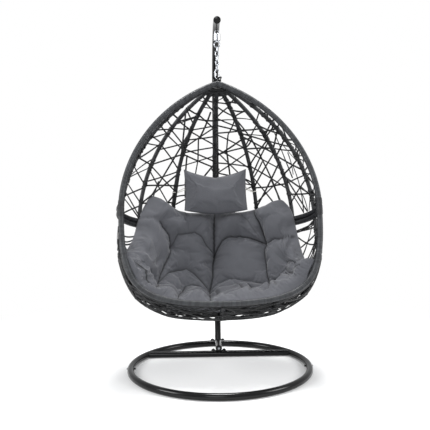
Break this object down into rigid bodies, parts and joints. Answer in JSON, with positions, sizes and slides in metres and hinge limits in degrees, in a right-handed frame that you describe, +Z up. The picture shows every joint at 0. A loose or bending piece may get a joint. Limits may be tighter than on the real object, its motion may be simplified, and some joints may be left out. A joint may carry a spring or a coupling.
{
  "type": "hanging egg chair",
  "caption": "Hanging egg chair: an open wicker basket with a seat cushion and a head pillow, on a chain under a C-shaped pole with a round base",
  "frame": {"origin": "the point on the floor at the centre of the base ring, straight below the hanging line", "axes": "+Z up. -Y is the open mouth of the basket, the way a sitter faces. The pole stands at +Y. +X is the right-hand side of someone who looks at the mouth."},
  "size_m": [1.1255, 1.0527, 1.977],
  "materials": {
    "black_coat": "gloss black powder coat on steel",
    "zinc": "bright zinc plate",
    "wicker": "dark charcoal synthetic wicker, wound on the frame",
    "fabric": "plain grey woven polyester",
    "tie_cord": "white cord"
  },
  "bodies": {
    "stand": {"base_ring_front": "black_coat", "base_ring_rear": "black_coat", "ring_bolts": "black_coat", "ring_nuts": "black_coat", "crossbar": "black_coat", "saddle_front": "black_coat", "saddle_rear": "black_coat", "saddle_bolts": "black_coat", "foot_strut": "black_coat", "strut_plug": "black_coat", "strut_bolt": "zinc", "pole_lower": "black_coat", "pole_upper": "black_coat", "pole_bolt": "black_coat", "pole_nut": "black_coat", "arm_cap": "black_coat", "hanger_staple": "black_coat"},
    "swivel_top": {"swivel_barrel": "zinc", "swivel_cap": "zinc"},
    "swivel_bottom": {"swivel_spindle": "zinc"},
    "link_1": {"chain_link_1": "zinc"},
    "link_2": {"chain_link_2": "zinc"},
    "link_3": {"chain_link_3": "zinc"},
    "link_4": {"chain_link_4": "zinc"},
    "link_5": {"chain_link_5": "zinc"},
    "quick_link": {"quick_link": "zinc"},
    "sleeve": {"quick_sleeve": "zinc"},
    "basket": {"basket_fork": "black_coat", "fork_bolt": "black_coat", "fork_nut": "black_coat", "crown": "wicker", "hood_rim": "wicker", "bowl_rim": "wicker", "hood_hoop": "wicker", "bowl_hoop": "wicker", "hood_ribs": "wicker", "bowl_ribs": "wicker", "hoop_bolts": "black_coat", "hoop_nuts": "black_coat", "hood_wicker_1": "wicker", "hood_wicker_2": "wicker", "hood_wicker_3": "wicker", "hood_wicker_4": "wicker", "hood_wicker_5": "wicker", "hood_wicker_6": "wicker", "hood_wicker_7": "wicker", "hood_wicker_8": "wicker", "bowl_wicker_1": "wicker", "bowl_wicker_2": "wicker", "bowl_wicker_3": "wicker", "bowl_wicker_4": "wicker", "bowl_wicker_5": "wicker", "bowl_wicker_6": "wicker", "bowl_wicker_7": "wicker", "bowl_wicker_8": "wicker", "seat_cushion": "fabric", "head_pillow": "fabric", "pillow_ties": "tie_cord"}
  },
  "joints": [
    {"name": "side_swing", "type": "hinge", "parent": "stand", "child": "swivel_top", "pos_m": [0, 0, 1.8981], "axis": [0, 1, 0], "range_deg": [-3, 3]},
    {"name": "turn", "type": "hinge", "parent": "swivel_top", "child": "swivel_bottom", "pos_m": [0, 0, 1.84699], "axis": [0, 0, 1], "range_deg": [-46, 40]},
    {"name": "ring_rock", "type": "hinge", "parent": "swivel_bottom", "child": "link_1", "pos_m": [0, 0, 1.8112], "axis": [0.9994, 0.0349, 0], "range_deg": [-5, 1]},
    {"name": "link_1_2", "type": "hinge", "parent": "link_1", "child": "link_2", "pos_m": [0, 0, 1.78685], "axis": [-0.1392, 0.9903, 0], "range_deg": [-3, 3]},
    {"name": "link_2_3", "type": "hinge", "parent": "link_2", "child": "link_3", "pos_m": [0, 0, 1.76174], "axis": [0.9703, 0.2419, 0], "range_deg": [-5, 1]},
    {"name": "link_3_4", "type": "hinge", "parent": "link_3", "child": "link_4", "pos_m": [0, 0, 1.73664], "axis": [-0.342, 0.9397, 0], "range_deg": [-3, 3]},
    {"name": "link_4_5", "type": "hinge", "parent": "link_4", "child": "link_5", "pos_m": [0, 0, 1.71155], "axis": [0.8988, 0.4384, 0], "range_deg": [-5, 1]},
    {"name": "link_5_quick", "type": "hinge", "parent": "link_5", "child": "quick_link", "pos_m": [0, 0, 1.68644], "axis": [-0.5299, 0.848, 0], "range_deg": [-3, 3]},
    {"name": "sleeve_travel", "type": "slide", "parent": "quick_link", "child": "sleeve", "axis": [0, 0, 1], "range_m": [0, 0.0105]},
    {"name": "basket_rock", "type": "hinge", "parent": "quick_link", "child": "basket", "pos_m": [0, 0, 1.6465], "axis": [0.9994, 0.0349, 0], "range_deg": [-5, 1]}
  ]
}
